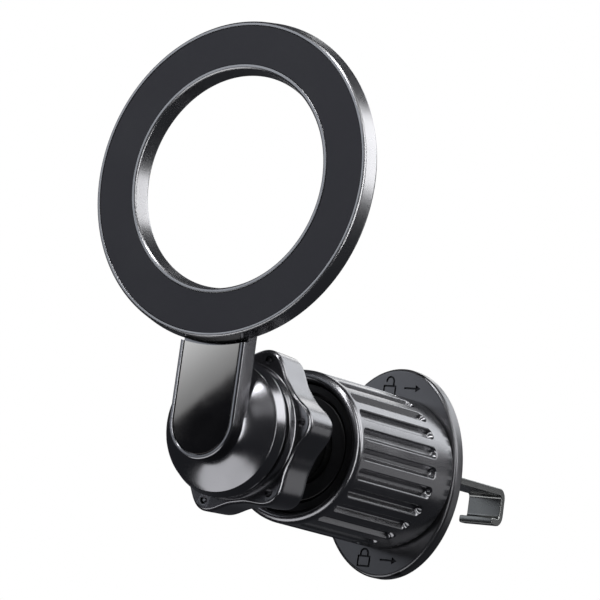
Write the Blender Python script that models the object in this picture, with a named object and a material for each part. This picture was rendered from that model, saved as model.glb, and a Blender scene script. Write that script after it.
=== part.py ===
# Magnetic-ring car phone mount that hooks on an air-vent blade.
# Frame: +Z up, barrel axis along Y, phone side towards -Y, vent side towards +Y.
# Origin: on the barrel axis at the rear plane of the oval base plate. Lengths below are in millimetres.
import bpy
import bmesh
from math import sin, cos, asin, pi, degrees, radians, sqrt
from mathutils import Matrix, Vector

for ob in list(bpy.data.objects):
    bpy.data.objects.remove(ob, do_unlink=True)

MM = 0.001

# driving dimensions
RING_Z = 45.0           # ring centre above the barrel axis
RING_FRONT = -73.2      # plane of the ring's front rims
RING_REAR = -69.6       # ring's rear face
RING_R = 30.0           # outer radius at the front
RING_R_BACK = 30.6      # outer radius near the back
HOLE_R = 20.83          # hole radius at the front
HOLE_R_BACK = 20.2      # hole radius near the back
FACE_IN, FACE_OUT = 21.9, 28.98
MAGNETS = 12

ARM_FRONT, ARM_REAR = -70.6, -66.5
ARM_HALF = 7.2
ARM_TOP = 23.6
INLAY_HALF = 6.4

BALL_Y, BALL_R = -55.6, 8.5
NECK_R = 3.8
FLARE_R = 12.35
NUT_FRONT, NUT_REAR = -58.9, -49.95
NUT_TIP, NUT_VALLEY, NUT_LOBES, NUT_PHASE = 16.45, 13.85, 6, radians(9.0)

KNOB_FRONT, KNOB_REAR = -39.6, -3.9
KNOB_R_FRONT, KNOB_R_REAR, KNOB_BORE = 15.1, 15.65, 12.85
GROOVES, GROOVE_W, GROOVE_Y0, GROOVE_Y1, GROOVE_R = 24, 2.4, -37.7, -10.4, 14.25

PLATE_HALF_W, PLATE_HALF_H, PLATE_T = 15.6, 21.65, 3.2
TUBE_IN, TUBE_OUT = 5.6, 7.2
PIN_Y, PIN_Z, PIN_R = -19.6, -1.2, 1.1
TRAVEL = 12.0           # hook travel while the knob turns three times

STRAP_HALF, STRAP_LO, STRAP_HI = 4.1, 1.0, 2.6
HOOK_FACE, HOOK_BACK = 37.85, 39.45
PRONG_LO, PRONG_HI, PRONG_TIP = -5.6, -4.0, 34.7

SEG = 60
def material(name, rgb, rough, metal):
    m = bpy.data.materials.get(name) or bpy.data.materials.new(name)
    m.use_nodes = True
    b = m.node_tree.nodes["Principled BSDF"]
    b.inputs["Base Color"].default_value = (*rgb, 1.0)
    b.inputs["Roughness"].default_value = rough
    b.inputs["Metallic"].default_value = metal
    m.diffuse_color = (*rgb, 1.0)
    return m


GUNMETAL = ("gunmetal", (0.10, 0.10, 0.115), 0.36, 0.9)
KNOBMETAL = ("knob_metal", (0.12, 0.12, 0.135), 0.33, 0.9)
NUTMETAL = ("nut_metal", (0.085, 0.085, 0.10), 0.30, 0.9)
RINGMETAL = ("ring_metal", (0.13, 0.13, 0.145), 0.28, 0.95)
BLACK = ("black_plastic", (0.012, 0.012, 0.014), 0.45, 0.0)
GLOSS = ("gloss_black", (0.006, 0.006, 0.008), 0.08, 0.0)
RUBBER = ("soft_black", (0.02, 0.02, 0.022), 0.75, 0.0)
PLATE = ("plate_grey", (0.045, 0.045, 0.05), 0.42, 0.4)
STEEL = ("steel", (0.5, 0.5, 0.51), 0.28, 1.0)
HOOKSTEEL = ("hook_steel", (0.09, 0.09, 0.095), 0.4, 0.8)
NYLON = ("nylon", (0.6, 0.59, 0.55), 0.5, 0.0)
BRASS = ("brass", (0.62, 0.45, 0.18), 0.3, 1.0)
MAGNET = ("nickel", (0.55, 0.54, 0.52), 0.22, 1.0)


def pivot(name, loc):
    e = bpy.data.objects.new(name, None)
    bpy.context.collection.objects.link(e)
    e.location = Vector(loc) * MM
    e.empty_display_size = 0.01
    return e


BASE = pivot("base_origin", (0, 0, 0))
KNOB = pivot("knob_axis", (0, 0, 0))
HOOK = pivot("hook_line", (0, PIN_Y, PIN_Z))
BALL = pivot("ball_centre", (0, BALL_Y, 0))
RING = pivot("ring_centre", (0, RING_FRONT, RING_Z))


def finish(bm, name, look, parent, sharp=32.0):
    """Close a bmesh given in millimetres of world space into a named object under its pivot."""
    bmesh.ops.remove_doubles(bm, verts=bm.verts, dist=1e-4)
    bmesh.ops.recalc_face_normals(bm, faces=bm.faces)
    if bm.calc_volume(signed=True) < 0:
        bmesh.ops.reverse_faces(bm, faces=bm.faces)
    home = parent.location if parent else Vector((0, 0, 0))
    bm.transform(Matrix.Translation(-home) @ Matrix.Scale(MM, 4))
    me = bpy.data.meshes.new(name)
    bm.to_mesh(me)
    bm.free()
    me.shade_smooth()
    me.set_sharp_from_angle(angle=radians(sharp))
    ob = bpy.data.objects.new(name, me)
    bpy.context.collection.objects.link(ob)
    if look:
        me.materials.append(material(name + "_" + look[0], look[1], look[2], look[3]))
    if parent:
        ob.parent = parent
    return ob


def copy_of(ob, name, rot=(0, 0, 0), shift=(0, 0, 0)):
    c = bpy.data.objects.new(name, ob.data)
    bpy.context.collection.objects.link(c)
    c.parent = ob.parent
    c.rotation_euler = rot
    c.location = Vector(shift) * MM
    return c


def guide(ob):
    ob.hide_render = True
    ob.display_type = 'WIRE'
    return ob


def cut(ob, cutter, op='DIFFERENCE'):
    m = ob.modifiers.new("cut_" + cutter.name[:40], 'BOOLEAN')
    m.operation = op
    m.solver = 'EXACT'
    m.object = guide(cutter)
    return m


def turned(profile, n=SEG, cz=0.0, closed=True):
    """Spin a profile of (radius, y) points about the line x = 0, z = cz."""
    bm = bmesh.new()
    vs = [bm.verts.new((r, y, cz)) for r, y in profile]
    es = [bm.edges.new((a, b)) for a, b in zip(vs, vs[1:])]
    if closed:
        es.append(bm.edges.new((vs[-1], vs[0])))
    bmesh.ops.spin(bm, geom=vs + es, cent=(0, 0, cz), axis=(0, 1, 0), angle=2 * pi, steps=n,
                   use_merge=True, use_duplicate=False)
    return bm


def lofted(levels, n, ring=True):
    """Loops of n points, each from (radius as a function of angle, y); ring closes last onto first."""
    bm = bmesh.new()
    loops = []
    for fn, y in levels:
        pts = []
        for i in range(n):
            a = 2 * pi * i / n
            rx, rz = fn(a)
            pts.append(bm.verts.new((rx, y, rz)))
        loops.append(pts)
    pairs = list(zip(loops, loops[1:]))
    if ring:
        pairs.append((loops[-1], loops[0]))
    for a, b in pairs:
        for i in range(n):
            j = (i + 1) % n
            bm.faces.new((a[i], a[j], b[j], b[i]))
    if not ring:
        bm.faces.new(loops[0])
        bm.faces.new(list(reversed(loops[-1])))
    return bm


def prism(bm, outline, lo, hi, axis='Y', at=None):
    """Extrude a closed outline. Axis Y takes (x, z), axis X takes (y, z), axis Z takes (x, y)."""
    put = {'Y': lambda u, v, w: (u, w, v), 'X': lambda u, v, w: (w, u, v),
           'Z': lambda u, v, w: (u, v, w)}[axis]
    m = at or Matrix.Identity(4)
    base = [bm.verts.new(m @ Vector(put(u, v, lo))) for u, v in outline]
    face = bm.faces.new(base)
    up = bmesh.ops.extrude_face_region(bm, geom=[face])
    step = m.to_3x3() @ (Vector(put(0, 0, hi)) - Vector(put(0, 0, lo)))
    bmesh.ops.translate(bm, verts=[v for v in up["geom"] if isinstance(v, bmesh.types.BMVert)], vec=step)
    return bm


def arc(cx, cy, r, a0, a1, n):
    return [(cx + r * cos(radians(a0 + (a1 - a0) * i / n)), cy + r * sin(radians(a0 + (a1 - a0) * i / n)))
            for i in range(n + 1)]


def sphere_arc(r, p0, p1, n):
    """Points (radius, y) on a sphere about the ball centre, polar angles from the front pole."""
    out = []
    for i in range(n + 1):
        p = radians(p0 + (p1 - p0) * i / n)
        out.append((max(r * sin(p), 0.0), BALL_Y - r * cos(p)))
    return out


def tongue(half, bottom, top, corner, n=20):
    """Round-bottomed upright tongue outline (x, z) with small round corners at the top."""
    pts = arc(0, bottom, half, 180, 360, n)
    pts += arc(half - corner, top - corner, corner, 0, 90, 4)
    pts += arc(-half + corner, top - corner, corner, 90, 180, 4)
    return pts


def rod(bm, r, lo, hi, axis='Y', at=(0, 0), n=16):
    return prism(bm, arc(at[0], at[1], r, 0, 360 - 360 / n, n - 1), lo, hi, axis)


# ---------------------------------------------------------------- base plate and what is fixed to it
def oval(dw):
    return lambda a: ((PLATE_HALF_W - dw) * cos(a), (PLATE_HALF_H - dw) * sin(a))


F = -PLATE_T
bm = lofted([(oval(0.35), 0.0), (oval(0.05), -0.3), (oval(0.0), -0.7), (oval(0.0), F + 0.75),
             (oval(0.12), F + 0.38), (oval(0.42), F + 0.1), (oval(0.8), F)], 56, ring=False)
base_plate = finish(bm, "base_plate", PLATE, BASE, sharp=40)

bores = turned([(0, F - 1), (12.7, F - 1), (12.7, -1.6), (TUBE_IN, -1.6), (TUBE_IN, -1.3), (8.4, -1.3),
                (8.4, 1.0), (0, 1.0)], 32, closed=False)
cut(base_plate, finish(bores, "plate_bores", None, BASE))

SCREW_PCR = 10.4
bm = bmesh.new()
for k in range(4):
    a = radians(45 + 90 * k)
    rod(bm, 1.15, F - 1, -0.6, at=(SCREW_PCR * cos(a), SCREW_PCR * sin(a)), n=12)
cut(base_plate, finish(bm, "plate_screw_holes", None, BASE))
bm = bmesh.new()
for k in range(4):
    a = radians(45 + 90 * k)
    rod(bm, 2.05, -0.95, 1.0, at=(SCREW_PCR * cos(a), SCREW_PCR * sin(a)), n=16)
cut(base_plate, finish(bm, "plate_screw_counterbores", None, BASE))


def frame_prism(bm, outer, inner, lo, hi):
    """Closed frame between two outlines with the same number of points."""
    n = len(outer)
    v = [[bm.verts.new((x, y, z)) for x, z in pts] for pts, y in
         ((outer, lo), (outer, hi), (inner, hi), (inner, lo))]
    for a, b in zip(v, v[1:] + v[:1]):
        for i in range(n):
            j = (i + 1) % n
            bm.faces.new((a[i], a[j], b[j], b[i]))


def box_outline(cx, cz, hw, hh):
    return [(cx - hw, cz - hh), (cx + hw, cz - hh), (cx + hw, cz + hh), (cx - hw, cz + hh)]


def padlock(bm, cx, cz, opened):
    """Outline of a padlock engraved in the plate's front: body frame and shackle."""
    lo, hi = F - 0.5, F + 0.35
    frame_prism(bm, box_outline(cx, cz - 0.7, 1.55, 1.2), box_outline(cx, cz - 0.7, 1.15, 0.8), lo, hi)
    r0, r1, zc = 0.65, 1.05, cz + (1.35 if opened else 0.95)
    left = cz + (1.1 if opened else 0.7)
    out = [(cx + r1, cz + 0.7)] + arc(cx, zc, r1, 0, 180, 8) + [(cx - r1, left), (cx - r0, left)]
    out += arc(cx, zc, r0, 180, 0, 8) + [(cx + r0, cz + 0.7)]
    prism(bm, out, lo, hi)


def arrow(bm, x0, x1, cz):
    lo, hi, w, h = F - 0.5, F + 0.35, 0.2, 0.75
    prism(bm, [(x0, cz - w), (x1 - 1.2, cz - w), (x1 - 1.2, cz - h), (x1, cz), (x1 - 1.2, cz + h),
               (x1 - 1.2, cz + w), (x0, cz + w)], lo, hi)


bm = bmesh.new()
padlock(bm, -2.35, 17.55, True)
arrow(bm, 1.1, 5.0, 17.6)
padlock(bm, -3.2, -17.7, False)
arrow(bm, 0.6, 4.6, -17.8)
cut(base_plate, finish(bm, "plate_icons", None, BASE))

PAD_Z, PAD_HALF_W, PAD_HALF_H = 16.6, 6.0, 2.3


def pad_outline(cz, grow=0.0):
    hw, hh, c = PAD_HALF_W + grow, PAD_HALF_H + grow, 1.4
    pts = arc(hw - c, cz - hh + c, c, -90, 0, 4) + arc(hw - c, cz + hh - c, c, 0, 90, 4)
    return pts + arc(-hw + c, cz + hh - c, c, 90, 180, 4) + arc(-hw + c, cz - hh + c, c, 180, 270, 4)


bm = bmesh.new()
for s in (1, -1):
    prism(bm, pad_outline(s * PAD_Z, 0.3), -0.8, 1.0)
cut(base_plate, finish(bm, "pad_seats", None, BASE))
for s, nm in ((1, "vent_pad_upper"), (-1, "vent_pad_lower")):
    finish(prism(bmesh.new(), pad_outline(s * PAD_Z), -0.5, 0.9), nm, RUBBER, BASE)

guide_plate = finish(turned([(0, -1.0), (8.1, -1.0), (8.1, -0.3), (7.8, 0.0), (0, 0.0)], 32, closed=False),
                     "strap_guide", BLACK, BASE)
zs = (STRAP_LO + STRAP_HI) / 2
bm = prism(bmesh.new(), box_outline(0, zs, STRAP_HALF + 0.35, (STRAP_HI - STRAP_LO) / 2 + 0.35), -2, 1)
cut(guide_plate, finish(bm, "strap_slot", None, BASE))

core_tube = finish(turned([(TUBE_OUT, KNOB_FRONT + 0.9), (TUBE_OUT, -3.0), (12.4, -3.0), (12.4, -1.9),
                           (TUBE_IN, -1.9)], 28), "core_tube", STEEL, BASE)
sl = PIN_R + 0.25
lo, hi = PIN_Y - TRAVEL - 0.4, PIN_Y + 0.4
bm = prism(bmesh.new(), arc(hi, PIN_Z, sl, -90, 90, 8) + arc(lo, PIN_Z, sl, 90, 270, 8), -9, 9, 'X')
cut(core_tube, finish(bm, "tube_slots", None, BASE))
bm = bmesh.new()
for k in range(4):
    a = radians(45 + 90 * k)
    rod(bm, 1.15, -4, -1, at=(SCREW_PCR * cos(a), SCREW_PCR * sin(a)), n=12)
cut(core_tube, finish(bm, "flange_holes", None, BASE))

screw = turned([(0, -2.95), (0.85, -2.95), (0.85, -0.65), (1.75, -0.65), (1.75, -0.3), (1.5, -0.1),
                (0, -0.1)], 12, closed=False)
bmesh.ops.translate(screw, verts=screw.verts, vec=(SCREW_PCR, 0, 0))
first = finish(screw, "plate_screw_1", STEEL, BASE)
first.rotation_euler = (0, radians(-45), 0)
for k in range(1, 4):
    copy_of(first, "plate_screw_%d" % (k + 1), rot=(0, radians(-45 - 90 * k), 0))

finish(turned([(7.5, -4.6), (12.2, -4.6), (12.2, -3.3), (7.5, -3.3)], 36), "thrust_washer", NYLON, BASE)
K = KNOB_FRONT
finish(turned([(7.5, K + 2.5), (10.2, K + 2.5), (10.5, K + 2.8), (10.5, K + 3.6), (7.5, K + 3.6)], 32),
       "front_collar", BLACK, BASE)

neck = 180 - 26.5
prof = sphere_arc(BALL_R, 0, neck, 11) + [(NECK_R, K - 3.5), (5.0, K - 2.1)]
prof += [(6.9, K - 1.8), (7.2, K - 1.5), (7.2, K + 0.6), (5.3, K + 0.6), (5.3, K + 3.4), (0, K + 3.4)]
finish(turned(prof, 28, closed=False), "ball_stud", STEEL, BASE)

# ---------------------------------------------------------------- tightening knob
fillet = 1.3
prof = [(KNOB_BORE, KNOB_REAR), (KNOB_R_REAR - 0.4, KNOB_REAR), (KNOB_R_REAR, KNOB_REAR - 0.4),
        (KNOB_R_REAR, KNOB_REAR - 3.0)]
prof += arc(KNOB_R_FRONT - fillet, KNOB_FRONT + fillet, fillet, 0, -90, 4)
lip = KNOB_R_FRONT - fillet - KNOB_BORE
for t in (30, 60, 90):
    prof.append((KNOB_BORE + lip * (1 - sin(radians(t))), KNOB_FRONT + 1.7 * (1 - cos(radians(t)))))
knob = finish(turned(prof, 72), "knob_barrel", KNOBMETAL, KNOB, sharp=28)
bm = bmesh.new()
hw = GROOVE_W / 2
outline = arc(GROOVE_Y1 - hw, 0, hw, -90, 90, 4) + arc(GROOVE_Y0 + hw, 0, hw, 90, 270, 4)
for k in range(GROOVES):
    turn = Matrix.Rotation(-2 * pi * (k + 0.93) / GROOVES, 4, 'Y')
    prism(bm, [(v, u) for u, v in outline], GROOVE_R, 17.0, 'Z',
          at=turn @ Matrix(
              ((0, 0, 1, 0), (0, 1, 0, 0), (-1, 0, 0, 0), (0, 0, 0, 1))))
cut(knob, finish(bm, "knob_grooves", None, KNOB))
finish(turned([(11.0, K + 2.0), (12.55, K + 2.0), (12.55, K + 3.5), (11.0, K + 3.5)], 36),
       "knob_bezel", BLACK, KNOB)
finish(turned([(9.9, K + 3.9), (12.55, K + 3.9), (12.55, -4.9), (9.9, -4.9)], 36),
       "lead_sleeve", BRASS, KNOB)

# ---------------------------------------------------------------- vent hook and its drive
ring = finish(turned([(7.5, PIN_Y - 3), (9.6, PIN_Y - 3), (9.6, PIN_Y + 3), (7.5, PIN_Y + 3)], 28),
              "drive_ring", BRASS, HOOK)
bm = rod(bmesh.new(), PIN_R + 0.2, -11, 11, 'X', (PIN_Y, PIN_Z))
cut(ring, finish(bm, "drive_ring_bore", None, HOOK))
finish(rod(bmesh.new(), PIN_R, -9.1, 9.1, 'X', (PIN_Y, PIN_Z)), "cross_pin", STEEL, HOOK)

flat = STRAP_LO - 0.3
a0 = degrees(asin(flat / 5.3))
bm = prism(bmesh.new(), arc(0, 0, 5.3, 180 - a0, 360 + a0, 26), -22.5, -12.5)
carrier = finish(bm, "hook_carrier", STEEL, HOOK)
bm = rod(bmesh.new(), PIN_R + 0.2, -8, 8, 'X', (PIN_Y, PIN_Z))
rod(bm, 1.05, -2.4, 3, 'Z', (0, -15.0), 12)
cut(carrier, finish(bm, "carrier_bores", None, HOOK))

t = STRAP_HI - STRAP_LO
ro, ri = 2.4, 0.8
out = [(-21.5, STRAP_LO), (-21.5, STRAP_HI)]
out += arc(HOOK_BACK - ro, STRAP_HI - ro, ro, 90, 0, 6)
out += arc(HOOK_BACK - ro, PRONG_LO + ro, ro, 0, -90, 6)
out += [(PRONG_TIP + 0.5, PRONG_LO), (PRONG_TIP, PRONG_LO + 0.5), (PRONG_TIP, PRONG_HI - 0.3),
        (PRONG_TIP + 0.3, PRONG_HI)]
out += arc(HOOK_FACE - ri, PRONG_HI + ri, ri, -90, 0, 4)
out += arc(HOOK_FACE - ri, STRAP_LO - ri, ri, 0, 90, 4)
strap = finish(prism(bmesh.new(), out, -STRAP_HALF, STRAP_HALF, 'X'), "hook_strap", HOOKSTEEL, HOOK,
               sharp=35)
bm = rod(bmesh.new(), 1.05, 0, 4, 'Z', (0, -15.0), 12)
cut(strap, finish(bm, "strap_hole", None, HOOK))
b = strap.modifiers.new("edge_break", 'BEVEL')
b.width, b.segments, b.limit_method, b.angle_limit = 0.00022, 1, 'ANGLE', radians(60)

bm = rod(bmesh.new(), 0.75, -2.1, 3.2, 'Z', (0, -15.0), 12)
bm2 = rod(bmesh.new(), 1.55, 3.0, 3.9, 'Z', (0, -15.0), 16)
shank = finish(bm, "hook_screw", STEEL, HOOK)
cut(shank, finish(bm2, "hook_screw_head", None, HOOK), 'UNION')

# ---------------------------------------------------------------- ball joint liners
prof = sphere_arc(9.45, 0, 13, 2) + sphere_arc(8.7, 13, 0, 2)
finish(turned(prof, 20, closed=False), "pole_shoe", NYLON, BALL)
finish(turned(sphere_arc(9.5, 40, 84, 4) + sphere_arc(8.7, 84, 40, 4), 28), "ball_liner", NYLON, BALL)

# ---------------------------------------------------------------- arm with its flared socket
flare = [(0, -68.1), (6.6, -68.1), (7.0, -67.6), (7.6, -66.9), (8.8, -66.0), (10.4, -65.15),
         (FLARE_R, -64.1), (FLARE_R + 0.2, -63.9), (13.15, -62.35), (13.15, -61.85), (12.2, -61.7),
         (12.2, -60.9), (11.45, -60.9), (11.45, BALL_Y + 3.65), (9.75, BALL_Y + 3.65)]
flare += sphere_arc(9.75, 90, 0, 6)
socket = finish(turned(flare, 48, closed=False), "arm_socket", GUNMETAL, BALL, sharp=30)
bm = prism(bmesh.new(), tongue(ARM_HALF, 0.0, ARM_TOP, 3.0), ARM_FRONT, ARM_REAR)
front = [e for e in bm.edges if all(abs(v.co.y - ARM_FRONT) < 1e-4 for v in e.verts)]
bmesh.ops.bevel(bm, geom=front, offset=0.35, segments=2, profile=0.5, affect='EDGES')
cut(socket, finish(bm, "arm_tongue", None, BALL), 'UNION')
bm = prism(bmesh.new(), tongue(INLAY_HALF + 0.05, 0.0, 20.0, 1.0), ARM_FRONT - 1.4, ARM_FRONT + 1.05)
cut(socket, finish(bm, "inlay_recess", None, BALL))
bm = turned([(0, RING_FRONT - 1), (31.0, RING_FRONT - 1), (31.0, RING_REAR + 0.3), (0, RING_REAR + 0.3)],
            60, cz=RING_Z, closed=False)
cut(socket, finish(bm, "ring_notch", None, BALL))
SCREW_X, SCREW_Z = 3.6, 19.2
bm = bmesh.new()
for s in (1, -1):
    rod(bm, 1.1, -72, -62, at=(s * SCREW_X, SCREW_Z), n=12)
cut(socket, finish(bm, "arm_screw_holes", None, BALL))
bm = bmesh.new()
for s in (1, -1):
    rod(bm, 1.95, ARM_REAR - 1.1, -62, at=(s * SCREW_X, SCREW_Z), n=16)
cut(socket, finish(bm, "arm_screw_counterbores", None, BALL))

bm = prism(bmesh.new(), tongue(INLAY_HALF - 0.1, 0.0, 19.8, 0.9), ARM_FRONT + 0.1, ARM_FRONT + 0.85)
inlay = finish(bm, "gloss_plate", GLOSS, BALL)
bm = turned([(0, -75.0), (31.0, -75.0), (31.0, -68.0), (0, -68.0)], 60, cz=RING_Z, closed=False)
cut(inlay, finish(bm, "inlay_notch", None, BALL))

tip = RING_REAR - 0.7
bm = turned([(0, tip), (0.8, tip), (0.8, ARM_REAR - 0.8), (1.65, ARM_REAR - 0.8),
             (1.65, ARM_REAR - 0.35), (1.4, ARM_REAR - 0.15), (0, ARM_REAR - 0.15)], 12, closed=False)
bmesh.ops.translate(bm, verts=bm.verts, vec=(SCREW_X, 0, SCREW_Z))
s1 = finish(bm, "arm_screw_1", STEEL, BALL)
copy_of(s1, "arm_screw_2", shift=(-2 * SCREW_X, 0, 0))

# ---------------------------------------------------------------- magnetic ring
F, floor = RING_FRONT, RING_FRONT + 2.2
prof = [(29.18, floor), (29.18, F), (RING_R - 0.3, F), (RING_R, F + 0.3), (RING_R_BACK, RING_REAR - 0.65),
        (30.15, RING_REAR), (20.65, RING_REAR), (HOLE_R_BACK, RING_REAR - 0.45), (HOLE_R, F + 0.3),
        (HOLE_R + 0.3, F), (21.7, F), (21.7, floor)]
ring_frame = finish(turned(prof, SEG, RING_Z), "ring_frame", RINGMETAL, RING, sharp=25)
bm = bmesh.new()
for s in (1, -1):
    rod(bm, 1.1, RING_REAR - 1.0, -68, at=(s * SCREW_X, SCREW_Z), n=12)
cut(ring_frame, finish(bm, "ring_screw_holes", None, RING))
finish(turned([(FACE_IN, F + 0.1), (FACE_OUT, F + 0.1), (FACE_OUT, F + 0.7), (FACE_IN, F + 0.7)],
              SEG, RING_Z), "ring_face", BLACK, RING)
finish(turned([(22.2, F + 1.95), (28.8, F + 1.95), (28.8, F + 2.15), (22.2, F + 2.15)], 36, RING_Z),
       "ring_yoke", STEEL, RING)
half = 180 / MAGNETS - 0.8
out = arc(0, 0, 28.4, 90 - half, 90 + half, 4) + arc(0, 0, 22.8, 90 + half, 90 - half, 4)
bm = prism(bmesh.new(), [(x, z + RING_Z) for x, z in out], F + 0.8, F + 1.8)
m1 = finish(bm, "magnet_01", MAGNET, RING)
for k in range(1, MAGNETS):
    copy_of(m1, "magnet_%02d" % (k + 1), rot=(0, 2 * pi * k / MAGNETS, 0))

# ---------------------------------------------------------------- clamp nut and pressure ring


def lobed(d):
    def fn(a):
        w = (0.5 + 0.5 * cos(NUT_LOBES * (a - NUT_PHASE))) ** 1.4
        r = NUT_VALLEY + (NUT_TIP - NUT_VALLEY) * w - d
        return r * cos(a), r * sin(a)
    return fn


def circle(r):
    return lambda a: (r * cos(a), r * sin(a))


lip, ledge = NUT_FRONT - 1.7, BALL_Y + 4.3
levels = [(circle(11.75), lip), (circle(12.85), lip), (circle(13.0), lip + 0.2), (circle(13.2), NUT_FRONT),
          (lobed(0.45), NUT_FRONT), (lobed(0.0), NUT_FRONT + 0.55), (lobed(0.2), NUT_REAR - 1.1),
          (lobed(1.1), NUT_REAR), (circle(8.6), NUT_REAR), (circle(8.6), ledge), (circle(11.75), ledge)]
nut = finish(lofted(levels, 72), "clamp_nut", NUTMETAL, BALL, sharp=28)
DIMPLE_R = 14.47
bm = bmesh.new()
for k in range(NUT_LOBES):
    a = NUT_PHASE + 2 * pi * k / NUT_LOBES
    rod(bm, 0.8, NUT_FRONT - 0.8, NUT_FRONT + 0.8, at=(DIMPLE_R * cos(a), DIMPLE_R * sin(a)), n=12)
cut(nut, finish(bm, "nut_dimples", None, BALL))
top = NUT_FRONT + 0.15
bm = turned([(0, top), (0.3, top), (0.42, top + 0.15), (0.42, top + 0.55), (0, top + 0.55)], 8,
            closed=False)
bmesh.ops.translate(bm, verts=bm.verts, vec=(DIMPLE_R, 0, 0))
p1 = finish(bm, "nut_pin_1", STEEL, BALL)
p1.rotation_euler = (0, -NUT_PHASE, 0)
for k in range(1, NUT_LOBES):
    copy_of(p1, "nut_pin_%d" % (k + 1), rot=(0, -NUT_PHASE - 2 * pi * k / NUT_LOBES, 0))

arcpts = []
for i in range(5):
    d = 3.85 - 3.35 * i / 4
    arcpts.append((sqrt(8.7 ** 2 - d ** 2), BALL_Y + d))
finish(turned(arcpts + [(9.45, BALL_Y + 0.5), (9.45, BALL_Y + 3.85)], 28), "pressure_ring", NYLON, BALL)
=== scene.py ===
import bpy
import bmesh
from math import sin, cos, pi, radians, sqrt, hypot
from mathutils import Matrix, Vector


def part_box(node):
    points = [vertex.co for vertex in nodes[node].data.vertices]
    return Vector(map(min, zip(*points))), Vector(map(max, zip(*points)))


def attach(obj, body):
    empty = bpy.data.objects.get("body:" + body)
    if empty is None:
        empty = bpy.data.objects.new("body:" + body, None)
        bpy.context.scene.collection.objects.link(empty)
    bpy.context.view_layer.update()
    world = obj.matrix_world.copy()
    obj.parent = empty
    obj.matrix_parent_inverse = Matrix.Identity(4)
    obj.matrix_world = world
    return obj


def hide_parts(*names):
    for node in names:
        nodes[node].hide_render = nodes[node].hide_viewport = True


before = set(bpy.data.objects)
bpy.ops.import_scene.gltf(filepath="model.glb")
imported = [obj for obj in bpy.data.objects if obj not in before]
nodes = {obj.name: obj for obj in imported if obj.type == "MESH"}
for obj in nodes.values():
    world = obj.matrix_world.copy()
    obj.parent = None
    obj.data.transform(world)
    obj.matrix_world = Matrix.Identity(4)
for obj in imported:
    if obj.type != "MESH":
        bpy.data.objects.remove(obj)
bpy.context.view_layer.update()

# Car phone mount with a magnetic ring. Camera, lights and floor are in metres; the pieces are
# modelled in millimetres and piece() scales them. y runs along the knob's axis towards the vent,
# z is up, and the ball joint, the nut and the arm's socket are centred on the knob's axis.

scene = bpy.context.scene
MM = 0.001


def box(node):
    """A node's corners in millimetres."""
    lo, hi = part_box(node)
    return Vector(lo) / MM, Vector(hi) / MM


def feed(node, values):
    """Set sockets of a shader node, by name or number."""
    for key, value in values.items():
        node.inputs[key].default_value = value


# ------------------------------------------------------------------ camera
CAMERA_AT = (0.278117, -0.455098, -0.046140)
AZIMUTH, ELEVATION, ROLL = radians(34.063), radians(-8.473), radians(7.821)
SENSOR_MM, LENS_MM = 36.0, 156.015
BACK = (sin(AZIMUTH) * cos(ELEVATION), -cos(AZIMUTH) * cos(ELEVATION), sin(ELEVATION))


def look_matrix(back, roll):
    """Rotation of a camera whose view direction is opposite to back."""
    b = Vector(back).normalized()
    level = Vector((0, 0, 1)).cross(b).normalized()
    right = level * cos(roll) + b.cross(level) * sin(roll)
    return Matrix((right, b.cross(right), b)).transposed()


cam_data = bpy.data.cameras.new("camera")
cam = bpy.data.objects.new("camera", cam_data)
scene.collection.objects.link(cam)
cam.matrix_world = Matrix.Translation(CAMERA_AT) @ look_matrix(BACK, ROLL).to_4x4()
cam_data.sensor_width, cam_data.lens = SENSOR_MM, LENS_MM
cam_data.clip_start, cam_data.clip_end = 0.01, 50.0
scene.camera = cam
scene.view_settings.view_transform = "Standard"

# ------------------------------------------------------------------ lights
MIDDLE = Vector((0.0, -0.050, 0.015))
INLAY_MIDDLE = Vector((0, -0.0705, 0.005))
COOL, COLD = (0.96, 0.98, 1.0), (0.90, 0.94, 1.0)


def area(name, direction, distance, width, length, radiance, along=(0, 0, 1), at=MIDDLE,
         colour=(1, 1, 1), fade=None):
    """A soft box that faces a point, with its length along a direction.

    fade is (axis, strength at one end, strength at the other) and dims the box along that axis.
    """
    lamp = bpy.data.lights.new(name, "AREA")
    lamp.shape, lamp.size, lamp.size_y, lamp.color = "RECTANGLE", width, length, colour
    lamp.energy = radiance * pi * width * length
    ob = bpy.data.objects.new(name, lamp)
    scene.collection.objects.link(ob)
    away = Vector(direction).normalized()
    up = Vector(along) - away * Vector(along).dot(away)
    up.normalize()
    turn = Matrix((up.cross(away), up, away)).transposed().to_4x4()
    ob.matrix_world = Matrix.Translation(at + away * distance) @ turn
    if fade:
        axis, start, end = fade
        lamp.use_nodes = True
        tree = lamp.node_tree
        split = tree.nodes.new("ShaderNodeSeparateXYZ")
        ramp = tree.nodes.new("ShaderNodeMapRange")
        ramp.interpolation_type = "SMOOTHSTEP"
        feed(ramp, {"From Min": 0.0, "From Max": 1.0, "To Min": start, "To Max": end})
        where = tree.nodes.new("ShaderNodeNewGeometry").outputs["Parametric"]
        tree.links.new(where, split.inputs[0])
        tree.links.new(split.outputs[axis], ramp.inputs["Value"])
        tree.links.new(ramp.outputs[0], tree.nodes["Emission"].inputs["Strength"])
    return ob


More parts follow.
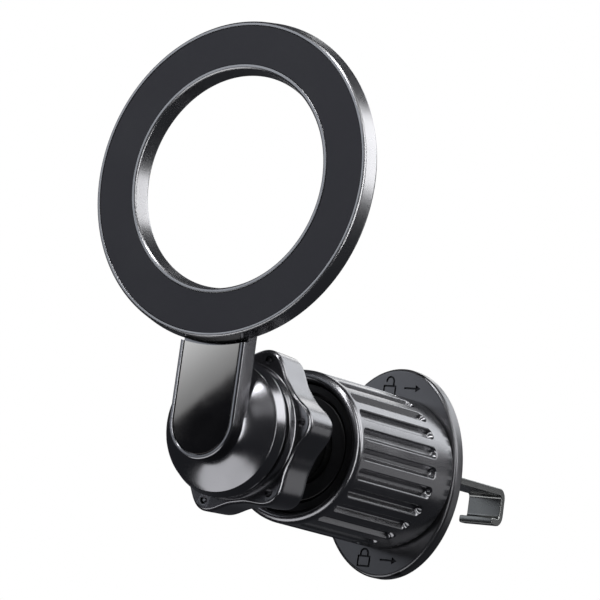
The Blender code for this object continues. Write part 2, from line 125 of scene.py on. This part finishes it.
area("light_back_right", (0.66, 0.60, 0.40), 1.2, 0.46, 0.90, 3.8, along=(-0.51, 0.055, 0.627))
area("light_back_fill", (0.14, 0.86, 0.49), 1.3, 0.66, 0.50, 2.1, colour=COOL)
area("light_back_edge", (-0.30, 0.83, 0.48), 1.2, 0.28, 0.50, 2.0)
area("light_side_right", (0.52, 0.83, -0.08), 1.3, 0.30, 0.45, 0.55)
area("light_back_left", (-0.80, 0.55, 0.25), 1.3, 0.40, 1.00, 1.3)
area("light_front_top", (0.10, -0.52, 0.84), 1.0, 0.13, 0.95, 17.0, along=(0.2, 0.6, 0.3))
area("light_top_right", (0.78, 0.16, 0.58), 1.0, 0.30, 0.70, 4.5, along=(-0.5, 0.1, 0.6))
area("light_front_right", (0.83, -0.52, 0.16), 1.2, 0.17, 1.70, 7.0)
area("light_front_mid", (0.34, -0.84, 0.42), 1.2, 0.26, 0.30, 0.7)
wall = area("light_left_wall", (-0.59, -0.76, 0.33), 1.4, 0.85, 0.80, 1.1, colour=COLD)
area("light_low_left", (-0.27, -0.61, -0.72), 0.9, 1.05, 0.50, 2.0)
card = area("light_inlay_card", (-0.59402, -0.79516, 0.1219), 1.3004, 0.26, 0.058, 12.0,
            along=(-0.507097, 0.463136, 0.726882), at=INLAY_MIDDLE, fade=(1, 0.30, 1.0))

# ------------------------------------------------------------------ backdrop and floor
BACKDROP, FILL = (1.0, 1.0, 1.0, 1), (0.045, 0.047, 0.053, 1)
FLOOR_Z, FLOOR_HALF, FLOOR_GLOW = -0.30, 3.0, 0.62

world = bpy.data.worlds.new("studio")
scene.world = world
world.use_nodes = True
sky = world.node_tree
sky.nodes.clear()
out = sky.nodes.new("ShaderNodeOutputWorld")
mixer = sky.nodes.new("ShaderNodeMixShader")
rays = sky.nodes.new("ShaderNodeLightPath")
seen = sky.nodes.new("ShaderNodeBackground")
fill = sky.nodes.new("ShaderNodeBackground")
feed(seen, {0: BACKDROP})
feed(fill, {0: FILL})
sky.links.new(rays.outputs["Is Camera Ray"], mixer.inputs[0])
sky.links.new(fill.outputs[0], mixer.inputs[1])
sky.links.new(seen.outputs[0], mixer.inputs[2])
sky.links.new(mixer.outputs[0], out.inputs[0])

bm = bmesh.new()
bmesh.ops.create_grid(bm, x_segments=1, y_segments=1, size=FLOOR_HALF)
me = bpy.data.meshes.new("floor")
bm.to_mesh(me)
bm.free()
floor = bpy.data.objects.new("floor", me)
scene.collection.objects.link(floor)
floor.location = (0, 0, FLOOR_Z)
floor.visible_glossy = floor.visible_diffuse = False
paint = bpy.data.materials.new("floor_paint")
paint.use_nodes = True
feed(paint.node_tree.nodes["Principled BSDF"], {
    "Base Color": (0.30, 0.30, 0.30, 1), "Emission Color": (1, 1, 1, 1),
    "Emission Strength": FLOOR_GLOW, "Roughness": 0.9})
me.materials.append(paint)

# ------------------------------------------------------------------ materials
CLOUDS, GRAIN, GRAIN_DEPTH = 90.0, 2600.0, 0.00005
STREAKS, TINT = 0.25, 0.08
WORN = (0.52, 0.60)
INK = (0.022, 0.022, 0.024)


def surface(name, base, rough, metal=0.0, vary=0.05, grain=GRAIN, bump=0.03, spec=0.5,
            wear=0.0, wear_colour=(0.5, 0.5, 0.5), ink=None):
    """Satin or gloss finish: cloudy roughness, fine grain in the bump, a slight drift of colour.

    wear lightens sharp edges. ink is (y, x, z) in metres and darkens what lies behind that y
    within plus or minus x and z, which is how the floors of the engraved icons are painted.
    """
    m = bpy.data.materials.new(name)
    m.use_nodes = True
    tree = m.node_tree
    shader = tree.nodes["Principled BSDF"]
    feed(shader, {"Metallic": metal, "Specular IOR Level": spec})
    coords = tree.nodes.new("ShaderNodeTexCoord").outputs["Object"]

    def noise(scale, detail, distortion=0.0):
        node = tree.nodes.new("ShaderNodeTexNoise")
        feed(node, {"Scale": scale, "Detail": detail, "Distortion": distortion})
        tree.links.new(coords, node.inputs["Vector"])
        return node.outputs["Fac"]

    def maths(operation, *values):
        node = tree.nodes.new("ShaderNodeMath")
        node.operation = operation
        for socket, value in zip(node.inputs, values):
            if isinstance(value, bpy.types.NodeSocket):
                tree.links.new(value, socket)
            else:
                socket.default_value = value
        return node.outputs[0]

    def remap(value, low, high, to_low, to_high):
        node = tree.nodes.new("ShaderNodeMapRange")
        feed(node, {"From Min": low, "From Max": high, "To Min": to_low, "To Max": to_high})
        tree.links.new(value, node.inputs["Value"])
        return node.outputs[0]

    def blend(factor, under, over):
        node = tree.nodes.new("ShaderNodeMix")
        node.data_type = "RGBA"
        tree.links.new(factor, node.inputs[0])
        tree.links.new(under, node.inputs[6])
        node.inputs[7].default_value = (*over, 1)
        return node.outputs[2]

    cloud, fine, streak = noise(CLOUDS, 2.0, 0.4), noise(grain, 3.0), noise(CLOUDS * 4, 1.0, 1.5)
    uneven = maths("SUBTRACT", maths("MULTIPLY_ADD", streak, STREAKS, cloud), STREAKS / 2)
    roughness = remap(uneven, 0.3, 0.7, max(rough - vary, 0.02), min(rough + vary, 1.0))
    tree.links.new(roughness, shader.inputs["Roughness"])

    ramp = tree.nodes.new("ShaderNodeValToRGB")
    dark, light = ramp.color_ramp.elements
    dark.position, light.position = 0.3, 0.7
    dark.color = (*[c * (1 - TINT) for c in base], 1)
    light.color = (*[min(c * (1 + TINT), 1) for c in base], 1)
    tree.links.new(cloud, ramp.inputs[0])
    colour = ramp.outputs[0]
    if wear:
        edges = tree.nodes.new("ShaderNodeNewGeometry").outputs["Pointiness"]
        colour = blend(remap(edges, *WORN, 0.0, wear), colour, wear_colour)
    if ink:
        split = tree.nodes.new("ShaderNodeSeparateXYZ")
        tree.links.new(coords, split.inputs[0])
        x, y, z = split.outputs
        inside = maths("GREATER_THAN", y, ink[0])
        for axis, limit in ((x, ink[1]), (z, ink[2])):
            near = maths("LESS_THAN", maths("ABSOLUTE", axis), limit)
            inside = maths("MULTIPLY", inside, near)
        colour = blend(inside, colour, INK)
    tree.links.new(colour, shader.inputs["Base Color"])

    relief = tree.nodes.new("ShaderNodeBump")
    feed(relief, {"Strength": bump, "Distance": GRAIN_DEPTH})
    tree.links.new(fine, relief.inputs["Height"])
    tree.links.new(relief.outputs[0], shader.inputs["Normal"])
    return m


EVEN = dict(metal=1.0, vary=0.02, bump=0.005)
M = {
    "gunmetal": surface("satin_gunmetal", (0.20, 0.20, 0.212), 0.215, 1.0, 0.02, bump=0.006),
    "knob": surface("knob_satin", (0.20, 0.20, 0.21), 0.25, **EVEN),
    "nut": surface("nut_satin", (0.19, 0.19, 0.20), 0.24, **EVEN),
    "ring": surface("ring_satin", (0.30, 0.30, 0.31), 0.27, 1.0, 0.02, bump=0.003),
    "face": surface("ring_face_satin", (0.0205, 0.0203, 0.027), 0.44, grain=3000, bump=0.02,
                    spec=0.4),
    "gloss": surface("gloss_inlay", (0.003, 0.003, 0.004), 0.035, vary=0.01, bump=0.0, spec=0.6),
    "plate": surface("plate_satin", (0.13, 0.13, 0.137), 0.30, 0.9, 0.02, bump=0.005,
                     ink=(-0.00312, 0.0056, 0.0207)),
    "black": surface("black_plastic", (0.006, 0.006, 0.007), 0.42, bump=0.08, spec=0.3),
    "rubber": surface("soft_rubber", (0.018, 0.018, 0.019), 0.78, grain=1500, bump=0.25),
    "steel": surface("bright_steel", (0.50, 0.50, 0.51), 0.24, 1.0, wear=0.3,
                     wear_colour=(0.8, 0.8, 0.8)),
    "oxide": surface("black_oxide", (0.02, 0.02, 0.022), 0.35, 0.9, wear=0.3,
                     wear_colour=(0.2, 0.2, 0.2)),
    "hook": surface("black_steel", (0.21, 0.215, 0.212), 0.27, **EVEN),
    "nylon": surface("nylon", (0.55, 0.54, 0.50), 0.5, bump=0.05),
    "brass": surface("brass", (0.60, 0.42, 0.16), 0.26, 1.0),
    "nickel": surface("nickel", (0.56, 0.55, 0.52), 0.2, 1.0),
}


# ------------------------------------------------------------------ outlines (millimetres)
def rounded(points, steps=4):
    """Corners (u, v, radius) of a closed outline, each replaced by a small arc."""
    result = []
    for i, (x, y, r) in enumerate(points):
        if r <= 0:
            result.append((x, y))
            continue
        corner = Vector((x, y))
        before = Vector(points[i - 1][:2]) - corner
        after = Vector(points[(i + 1) % len(points)][:2]) - corner
        r = min(r, before.length * 0.49, after.length * 0.49)
        start, end = corner + before.normalized() * r, corner + after.normalized() * r
        for j in range(steps + 1):
            t = j / steps
            q = start * (1 - t) ** 2 + corner * 2 * t * (1 - t) + end * t ** 2
            result.append((q.x, q.y))
    return result


def arc(cx, cy, r, a0, a1, n):
    """n + 1 points of an arc, with its angles in degrees."""
    angles = [radians(a0 + (a1 - a0) * i / n) for i in range(n + 1)]
    return [(cx + r * cos(a), cy + r * sin(a)) for a in angles]


def disc(cx, cy, r, n=23):
    """A round outline of n + 1 points."""
    return arc(cx, cy, r, 0, 360 * n / (n + 1), n)


def hoop(r, y, n=240, cz=0.0):
    """A circle about the line x = 0, z = cz."""
    return [(r * sin(2 * pi * i / n), y, cz + r * cos(2 * pi * i / n)) for i in range(n)]


# ------------------------------------------------------------------ meshes (millimetres)
def grid(rings, closed=True):
    """Quads between successive rings of points; closed joins the last ring to the first."""
    bm = bmesh.new()
    loops = [[bm.verts.new(p) for p in ring] for ring in rings]
    pairs = list(zip(loops, loops[1:]))
    if closed:
        pairs.append((loops[-1], loops[0]))
    n = len(loops[0])
    for a, b in pairs:
        for i in range(n):
            j = (i + 1) % n
            bm.faces.new((a[i], a[j], b[j], b[i]))
    if not closed:
        bm.faces.new(loops[0])
        bm.faces.new(list(reversed(loops[-1])))
    return bm


def turned(profile, n=240, cz=0.0, closed=True):
    """Revolve (radius, y) points about the line x = 0, z = cz."""
    return grid([hoop(r, y, n, cz) for r, y in profile], closed)


def prism(outline, lo, hi, axis="Y"):
    """An outline drawn out along an axis: (x, z) points for Y, (x, y) points for Z."""
    ends = [[(u, w, v) if axis == "Y" else (u, v, w) for u, v in outline] for w in (lo, hi)]
    return grid(ends, closed=False)


def join(parts):
    result = bmesh.new()
    for part in parts:
        me = bpy.data.meshes.new("part")
        part.to_mesh(me)
        part.free()
        result.from_mesh(me)
        bpy.data.meshes.remove(me)
    return result


def mesh_of(bm, name):
    """Turn a closed bmesh into a mesh whose normals point outwards, and free it."""
    bmesh.ops.recalc_face_normals(bm, faces=bm.faces)
    if bm.calc_volume(signed=True) < 0:
        bmesh.ops.reverse_faces(bm, faces=bm.faces)
    me = bpy.data.meshes.new(name)
    bm.to_mesh(me)
    bm.free()
    return me


def evaluated(ob):
    """A new mesh with the object's modifiers applied."""
    deps = bpy.context.evaluated_depsgraph_get()
    return bpy.data.meshes.new_from_object(ob.evaluated_get(deps))


def cut(bm, cutter, operation="DIFFERENCE"):
    """Boolean of two bmeshes."""
    work = bpy.data.objects.new("work", mesh_of(bm, "work"))
    tool = bpy.data.objects.new("tool", mesh_of(cutter, "tool"))
    for ob in (work, tool):
        scene.collection.objects.link(ob)
    modifier = work.modifiers.new("cut", "BOOLEAN")
    modifier.operation, modifier.solver, modifier.object = operation, "EXACT", tool
    me = evaluated(work)
    result = bmesh.new()
    result.from_mesh(me)
    for ob in (work, tool):
        data = ob.data
        bpy.data.objects.remove(ob, do_unlink=True)
        bpy.data.meshes.remove(data)
    bpy.data.meshes.remove(me)
    return result


def piece(bm, name, body, look, replaced, sharp=30.0):
    """Finish a millimetre bmesh as a visible piece that rides on a body."""
    bmesh.ops.remove_doubles(bm, verts=bm.verts, dist=1e-5)
    rough = mesh_of(bm, name)
    rough.transform(Matrix.Scale(MM, 4))
    rough.shade_smooth()
    rough.set_sharp_from_angle(angle=radians(sharp))
    ob = bpy.data.objects.new(name, rough)
    scene.collection.objects.link(ob)
    flat = ob.modifiers.new("normals", "WEIGHTED_NORMAL")
    flat.mode, flat.weight, flat.keep_sharp = "FACE_AREA", 100, True
    me = evaluated(ob)
    ob.modifiers.clear()
    ob.data = me
    bpy.data.meshes.remove(rough)
    me.name = name
    me.materials.clear()
    me.materials.append(M[look])
    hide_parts(replaced)
    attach(ob, body)


# ------------------------------------------------------------------ magnetic ring
lo, hi = box("ring_frame")
RING_Z, RING_FRONT, RING_BACK = (lo.z + hi.z) / 2, lo.y, hi.y
RING_R = (hi.x - lo.x) / 2                      # at the back; the front is a little smaller
RING_FRONT_R = RING_R - 0.6
HOLE_FRONT, HOLE_BACK = 20.83, 20.2             # radii of the hole
face_lo, face_hi = box("ring_face")
SEAT_IN, SEAT_OUT = 21.7, (face_hi.x - face_lo.x) / 2 + 0.2
SEAT_Y = RING_FRONT + 2.2
profile = rounded([
    (SEAT_OUT, SEAT_Y, 0.1), (SEAT_OUT, RING_FRONT, 0.1), (RING_FRONT_R - 0.3, RING_FRONT, 0.12),
    (RING_FRONT_R, RING_FRONT + 0.3, 0.12), (RING_R - 0.02, RING_BACK - 0.6, 0.3),
    (RING_R - 0.4, RING_BACK, 0.25), (HOLE_BACK + 0.4, RING_BACK, 0.25),
    (HOLE_BACK, RING_BACK - 0.45, 0.3), (HOLE_FRONT, RING_FRONT + 0.3, 0.12),
    (HOLE_FRONT + 0.3, RING_FRONT, 0.12), (SEAT_IN, RING_FRONT, 0.1), (SEAT_IN, SEAT_Y, 0.1)])
piece(turned(profile, 360, RING_Z), "ring_shell", "head", "ring", "ring_frame",
      sharp=24)

PAD_IN, PAD_OUT = 21.72, 29.16
pad_front = face_lo.y + 0.02
profile = rounded([(PAD_IN, pad_front, 0.1), (PAD_OUT, pad_front, 0.1), (PAD_OUT, face_hi.y, 0),
                   (PAD_IN, face_hi.y, 0)], 3)
piece(turned(profile, 360, RING_Z), "ring_pad", "head", "face", "ring_face",
      sharp=40)

# ------------------------------------------------------------------ tightening knob
lo, hi = box("knob_barrel")
KNOB_FRONT, KNOB_BACK, KNOB_R = lo.y, hi.y, (hi.x - lo.x) / 2
FRONT_R, BACK_R, BORE = KNOB_R - 0.55, KNOB_R - 0.02, 12.85
TAPER_END = KNOB_BACK - 3.0                     # the barrel is plain behind it
GROOVES, GROOVE_WIDTH, GROOVE_DEPTH = 24, 2.4, 1.15
GROOVE_PHASE = 0.93                             # of one pitch
GROOVE_START, GROOVE_END = KNOB_FRONT + 1.9, KNOB_BACK - 6.5
ARC_R = FRONT_R + 0.3                           # where widths round the barrel are measured
FINE = 0.07                                     # row spacing at the grooves' ends
NOSE = 1.3                                      # radius of the front edge


def land(y):
    """Radius of the barrel between its grooves."""
    if y >= TAPER_END:
        return BACK_R
    return FRONT_R + (BACK_R - FRONT_R) * (y - KNOB_FRONT) / (TAPER_END - KNOB_FRONT)


def groove(u, y):
    """Depth of the grooves at u millimetres from a groove's middle line."""
    half = GROOVE_WIDTH / 2
    beyond = max(GROOVE_START + half - y, y - (GROOVE_END - half), 0.0)
    t = min(max((half - hypot(u, beyond) + 0.10) / 0.95, 0.0), 1.0)
    return GROOVE_DEPTH * t * t * (3 - 2 * t)


us = [0, .25, .45, .6, .72, .82, .9, .97, 1.03, 1.08, 1.12, 1.16, 1.2, 1.25, 1.3, 1.36, 1.5, 1.7,
      pi / GROOVES * ARC_R]
us = [-u for u in reversed(us[1:])] + us[:-1]
spokes = [(2 * pi * (k + GROOVE_PHASE) / GROOVES + u / ARC_R, u)
          for k in range(GROOVES) for u in us]
rows = [KNOB_FRONT + 1.5] + [GROOVE_START - 0.2 + FINE * i for i in range(22)]
rows += [GROOVE_START + 1.6 + (GROOVE_END - GROOVE_START - 3.2) * i / 12 for i in range(13)]
rows += [GROOVE_END - 1.35 + FINE * i for i in range(23)] + [TAPER_END, KNOB_BACK - 0.45]


def knob_circle(r, y):
    return [(r * cos(a), y, r * sin(a)) for a, _ in spokes]


def knob_row(y):
    return [((land(y) - groove(u, y)) * cos(a), y, (land(y) - groove(u, y)) * sin(a))
            for a, u in spokes]


crest = FRONT_R - NOSE
nose = [(crest + NOSE * sin(radians(t)), KNOB_FRONT + NOSE * (1 - cos(radians(t))))
        for t in range(6, 91, 12)]
mouth = [(crest - (crest - BORE) * sin(radians(t)), KNOB_FRONT + 1.7 * (1 - cos(radians(t))))
         for t in range(90, 14, -15)]
front = [(BORE, KNOB_FRONT + 2.6)] + mouth + [(crest, KNOB_FRONT)] + nose
back = [(KNOB_R - 0.1, KNOB_BACK - 0.2), (KNOB_R - 0.35, KNOB_BACK - 0.02),
        (BORE + 0.3, KNOB_BACK), (BORE, KNOB_BACK - 0.3)]
rings = [knob_circle(*point) for point in front] + [knob_row(y) for y in rows]
rings += [knob_circle(*point) for point in back]
piece(grid(rings), "knob_shell", "knob", "knob", "knob_barrel", sharp=80)

lo, hi = box("knob_bezel")
profile = rounded([(11.0, lo.y, 0.18), (12.5, lo.y, 0.1), (12.5, hi.y, 0), (11.0, hi.y, 0.1)])
piece(turned(profile, 200), "bezel_ring", "knob", "black", "knob_bezel")
lo, hi = box("front_collar")
profile = rounded([(7.5, lo.y, 0.1), (10.45, lo.y, 0.3), (10.45, hi.y, 0.1), (7.5, hi.y, 0)])
piece(turned(profile, 160), "collar_ring", "base", "black", "front_collar")

# ------------------------------------------------------------------ clamp nut
lo, hi = box("clamp_nut")
LIP, NUT_BACK = lo.y, hi.y
NUT_FACE = LIP + 1.7                            # the lip stands this far in front of the lobes
LOBES, LOBE_PHASE, LOBE_TIP, LOBE_VALLEY = 6, radians(9.0), 16.43, 13.85
DIMPLE_AT, DIMPLE_R = 14.47, 0.8
NUT_POINTS = 432


def nut_circle(r, y):
    turns = [2 * pi * i / NUT_POINTS for i in range(NUT_POINTS)]
    return [(r * cos(a), y, r * sin(a)) for a in turns]


def lobed(inset, y):
    result = []
    for i in range(NUT_POINTS):
        a = 2 * pi * i / NUT_POINTS
        swell = (0.5 + 0.5 * cos(LOBES * (a - LOBE_PHASE))) ** 1.4
        r = LOBE_VALLEY + (LOBE_TIP - LOBE_VALLEY) * swell - inset
        result.append((r * cos(a), y, r * sin(a)))
    return result


lip = [(11.75, LIP + 0.1), (11.85, LIP), (12.7, LIP), (12.88, LIP + 0.06), (12.98, LIP + 0.25),
       (13.1, NUT_FACE - 0.12), (13.2, NUT_FACE - 0.02), (13.34, NUT_FACE)]
lobes = [(0.62, NUT_FACE), (0.5, NUT_FACE + 0.015), (0.38, NUT_FACE + 0.08), (0.1, NUT_FACE + 0.42),
         (0.03, NUT_FACE + 0.52), (0.0, NUT_FACE + 0.68), (0.0, NUT_FACE + 1.2),
         (0.15, NUT_BACK - 2.0), (0.2, NUT_BACK - 1.25), (0.26, NUT_BACK - 0.95),
         (0.95, NUT_BACK - 0.2), (1.1, NUT_BACK - 0.05), (1.3, NUT_BACK)]
recess = [(8.75, NUT_BACK), (8.6, NUT_BACK - 0.15), (8.6, NUT_BACK - 1.2), (8.7, NUT_BACK - 1.34),
          (11.7, NUT_BACK - 1.34)]
rings = [nut_circle(*point) for point in lip] + [lobed(*point) for point in lobes]
rings += [nut_circle(*point) for point in recess]
dimples = []
for k in range(LOBES):
    a = LOBE_PHASE + 2 * pi * k / LOBES
    dimples.append(prism(disc(DIMPLE_AT * cos(a), DIMPLE_AT * sin(a), DIMPLE_R), NUT_FACE - 0.5,
                         NUT_FACE + 0.8))
piece(cut(grid(rings), join(dimples)), "nut_shell", "nut", "nut", "clamp_nut",
      sharp=26)

# ------------------------------------------------------------------ arm and flared socket
inlay_lo, inlay_hi = box("gloss_plate")
ARM_FRONT = inlay_lo.y - 0.1
ARM_BACK = ARM_FRONT + 4.1
BALL_Y, CUP_R = -55.6, 9.75                     # the ball's centre, and the hollow round it
ARM_HALF, ARM_TOP, INLAY_HALF = 7.2, 23.6, 6.4
FLARE_R = 12.35
SCREW_X, SCREW_Z = 3.6, 19.2
RING_CLEARANCE = 31.0                           # radius of the notch that the ring sits in


def tongue_ring(inset, y, half=ARM_HALF, top=ARM_TOP, corner=3.0):
    """Outline of the arm at one depth: a half circle below, two rounded corners above."""
    half, top, corner = half - inset, top - inset, max(corner - inset, 0.3)
    outline = arc(0, 0, half, 180, 360, 48) + arc(half - corner, top - corner, corner, 0, 90, 6)
    outline += arc(-half + corner, top - corner, corner, 90, 180, 6)
    return [(x, y, z) for x, z in outline]


def tongue(steps, *size):
    """A closed block of tongue outlines, from (inset, y) steps."""
    return grid([tongue_ring(inset, y, *size) for inset, y in steps], closed=False)


def ring_notch(front, back):
    """The cylinder that keeps the arm and its inlay clear of the ring."""
    return turned([(RING_CLEARANCE, front), (RING_CLEARANCE, back)], cz=RING_Z, closed=False)


flare = [(6.95, 3.0), (7.35, 3.45), (7.9, 3.95), (8.6, 4.45), (9.5, 4.98), (10.4, 5.45),
         (11.4, 5.98), (FLARE_R - 0.06, 6.46), (FLARE_R + 0.02, 6.53), (FLARE_R + 0.1, 6.66),
         (13.05, 8.12), (13.15, 8.3), (13.15, 8.6), (13.05, 8.75), (12.2, 8.9), (12.2, 9.7),
         (11.45, 9.7)]
profile = [(r, ARM_FRONT + y) for r, y in [(0.02, 2.5), (6.6, 2.5)] + flare]
profile += [(11.45, BALL_Y + 3.65), (CUP_R, BALL_Y + 3.65)]
profile += [(max(CUP_R * sin(t), 0.02), BALL_Y - CUP_R * cos(t))
            for t in [radians(90 - 7.5 * i) for i in range(13)]]
bm = turned(profile, closed=False)
bm = cut(bm, tongue([(0.34, ARM_FRONT), (0.2, ARM_FRONT + 0.05), (0.06, ARM_FRONT + 0.17),
                     (0.0, ARM_FRONT + 0.34), (0.0, ARM_BACK - 0.2), (0.06, ARM_BACK - 0.06),
                     (0.2, ARM_BACK)]), "UNION")
bm = cut(bm, tongue([(-0.1, ARM_FRONT - 1), (-0.1, ARM_FRONT - 0.02), (0.0, ARM_FRONT + 0.1),
                     (0.0, ARM_FRONT + 1.05)], INLAY_HALF + 0.05, 20.0, 1.0))
bm = cut(bm, ring_notch(RING_FRONT - 1, RING_BACK + 0.3))
for side in (1, -1):
    for r, start in ((1.1, -75), (1.95, ARM_BACK - 1.1)):    # screw hole, then its counterbore
        bm = cut(bm, prism(disc(SCREW_X * side, SCREW_Z, r, 35), start, -60))
piece(bm, "arm_shell", "head", "gunmetal", "arm_socket", sharp=28)

bm = tongue([(0.16, inlay_lo.y), (0.08, inlay_lo.y + 0.02), (0.02, inlay_lo.y + 0.08),
             (0.0, inlay_lo.y + 0.16), (0.0, inlay_hi.y)], INLAY_HALF - 0.1, 19.8, 0.9)
bm = cut(bm, ring_notch(RING_FRONT - 2, RING_BACK + 1.6))
piece(bm, "inlay_panel", "head", "gloss", "gloss_plate", sharp=50)

# ------------------------------------------------------------------ hook strap
lo, hi = box("hook_strap")
BEND_Y, TIP_Z, STRAP_TOP, STRAP_HALF = hi.y, lo.z, hi.z, hi.x
THICK, BEND_OUT, BEND_IN = 1.6, 2.4, 0.8
inner_y, tip_top, strap_low = BEND_Y - THICK, TIP_Z + THICK, STRAP_TOP - THICK
tip_y = BEND_Y - 4.75
strap = [(lo.y, strap_low), (lo.y, STRAP_TOP)]
strap += arc(BEND_Y - BEND_OUT, STRAP_TOP - BEND_OUT, BEND_OUT, 90, 0, 14)
strap += arc(BEND_Y - BEND_OUT, TIP_Z + BEND_OUT, BEND_OUT, 0, -90, 14)
strap += [(tip_y + 0.5, TIP_Z), (tip_y + 0.12, TIP_Z + 0.16), (tip_y, TIP_Z + 0.5),
          (tip_y, tip_top - 0.4), (tip_y + 0.1, tip_top - 0.1), (tip_y + 0.35, tip_top)]
strap += arc(inner_y - BEND_IN, tip_top + BEND_IN, BEND_IN, -90, 0, 10)
strap += arc(inner_y - BEND_IN, strap_low - BEND_IN, BEND_IN, 0, 90, 10)
turning = sum(a[0] * b[1] - b[0] * a[1] for a, b in zip(strap, strap[1:] + strap[:1]))
INWARD = -1 if turning > 0 else 1
SOFT_EDGE = [(0.26, 0.0), (0.12, 0.05), (0.03, 0.14), (0.0, 0.28)]    # inset, distance from side


def strap_ring(inset, x):
    """The strap's side outline, inset along the mitres of its corners."""
    result = []
    for i, (y, z) in enumerate(strap):
        a, b = strap[i - 1], strap[(i + 1) % len(strap)]
        d0 = Vector((y - a[0], z - a[1])).normalized()
        d1 = Vector((b[0] - y, b[1] - z)).normalized()
        d = (d0 + d1).normalized()
        stretch = INWARD * inset / max(sqrt((1 + d0.dot(d1)) / 2), 0.5)
        result.append((x, y + stretch * d.y, z - stretch * d.x))
    return result


rings = [strap_ring(inset, -STRAP_HALF + off) for inset, off in SOFT_EDGE]
rings += [strap_ring(inset, STRAP_HALF - off) for inset, off in reversed(SOFT_EDGE)]
bm = cut(grid(rings, closed=False), prism(disc(0, -15.0, 1.05), 0, 4, "Z"))
piece(bm, "hook_blade", "hook", "hook", "hook_strap", sharp=38)

# ------------------------------------------------------------------ oval base plate
lo, hi = box("base_plate")
PLATE_X, PLATE_Z, PLATE_FRONT = hi.x, hi.z, lo.y
ENGRAVED = PLATE_FRONT + 0.33
STROKE, SHACKLE = 0.2, 1.05                     # half width of an arrow's shaft, shackle's radius


def oval_ring(inset, y, n=240):
    turns = [2 * pi * i / n for i in range(n)]
    return [((PLATE_X - inset) * cos(a), y, (PLATE_Z - inset) * sin(a)) for a in turns]


def rectangle(cx, cz, half_x, half_z, corner, steps):
    return rounded([(cx - half_x, cz - half_z, corner), (cx + half_x, cz - half_z, corner),
                    (cx + half_x, cz + half_z, corner), (cx - half_x, cz + half_z, corner)], steps)


def engrave(outline):
    return prism(outline, PLATE_FRONT - 0.5, ENGRAVED)


def padlock(cx, cz, opened):
    """Outline of a padlock; an open one has a raised shackle with a short left leg."""
    zc, left = (cz + 1.35, cz + 1.1) if opened else (cz + 0.95, cz + 0.3)
    inner = SHACKLE - 0.4
    shackle = [(cx + SHACKLE, cz + 0.3)] + arc(cx, zc, SHACKLE, 0, 180, 16)
    shackle += [(cx - SHACKLE, left), (cx - inner, left)]
    shackle += arc(cx, zc, inner, 180, 0, 16) + [(cx + inner, cz + 0.3)]
    hollow = prism(rectangle(cx, cz - 0.7, 1.17, 0.82, 0.2, 3), PLATE_FRONT - 1, PLATE_FRONT + 1)
    body = cut(engrave(rectangle(cx, cz - 0.7, 1.55, 1.2, 0.2, 3)), hollow)
    return cut(body, engrave(shackle), "UNION")


def arrow(x0, x1, cz):
    neck, head = x1 - 1.2, 0.75
    return engrave([(x0, cz - STROKE), (neck, cz - STROKE), (neck, cz - head), (x1, cz),
                    (neck, cz + head), (neck, cz + STROKE), (x0, cz + STROKE)])


bm = grid([oval_ring(inset, y) for inset, y in (
    (0.35, 0.0), (0.18, -0.06), (0.06, -0.2), (0.0, -0.5), (0.0, PLATE_FRONT + 0.9),
    (0.05, PLATE_FRONT + 0.6), (0.14, PLATE_FRONT + 0.34), (0.3, PLATE_FRONT + 0.16),
    (0.5, PLATE_FRONT + 0.05), (0.8, PLATE_FRONT))], closed=False)
cuts = [turned([(0.02, PLATE_FRONT - 1), (12.7, PLATE_FRONT - 1), (12.7, -1.6), (8.4, -1.6),
                (8.4, 1.0), (0.02, 1.0)], 120, closed=False)]
for k in range(4):                              # seats of the four plate screws
    a = radians(45 + 90 * k)
    cuts.append(prism(disc(10.4 * cos(a), 10.4 * sin(a), 2.05), -0.95, 1.0))
cuts += [padlock(-2.35, 17.55, True), arrow(1.1, 5.0, 17.6),
         padlock(-3.2, -17.7, False), arrow(0.6, 4.6, -17.8)]
for pad in ("vent_pad_upper", "vent_pad_lower"):
    pad_lo, pad_hi = box(pad)
    cuts.append(prism(rectangle(0.0, (pad_lo.z + pad_hi.z) / 2, pad_hi.x + 0.3,
                                (pad_hi.z - pad_lo.z) / 2 + 0.3, 1.5, 6), -0.8, 1.0))
for cutter in cuts:
    bm = cut(bm, cutter)
piece(bm, "oval_plate", "base", "plate", "base_plate", sharp=32)


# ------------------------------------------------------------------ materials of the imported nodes
def numbered(pattern, count):
    return [pattern % k for k in range(1, count + 1)]


def dress(material, *names):
    for name in names:
        me = nodes[name].data
        me.materials.clear()
        me.materials.append(M[material])
        for polygon in me.polygons:
            polygon.material_index = 0


dress("plate", "base_plate")
dress("gunmetal", "arm_socket")
dress("knob", "knob_barrel")
dress("nut", "clamp_nut", *numbered("nut_pin_%d", 6))
dress("ring", "ring_frame")
dress("face", "ring_face")
dress("gloss", "gloss_plate")
dress("hook", "hook_strap")
dress("black", "knob_bezel", "front_collar", "strap_guide", "lead_sleeve")
dress("rubber", "vent_pad_upper", "vent_pad_lower")
dress("oxide", "ball_stud", "core_tube")
dress("steel", "cross_pin", "hook_carrier", "hook_screw", "ring_yoke",
      *numbered("arm_screw_%d", 2), *numbered("plate_screw_%d", 4))
dress("nylon", "thrust_washer", "pole_shoe", "ball_liner", "pressure_ring")
dress("brass", "drive_ring")
dress("nickel", *numbered("magnet_%02d", 12))

# The small card lights the glossy inlay only, and the left wall lights everything else.
for light, state in ((card, "INCLUDE"), (wall, "EXCLUDE")):
    group = bpy.data.collections.new(light.name + "_link")
    group.objects.link(bpy.data.objects["inlay_panel"])
    light.light_linking.receiver_collection = group
    group.collection_objects[0].light_linking.link_state = state
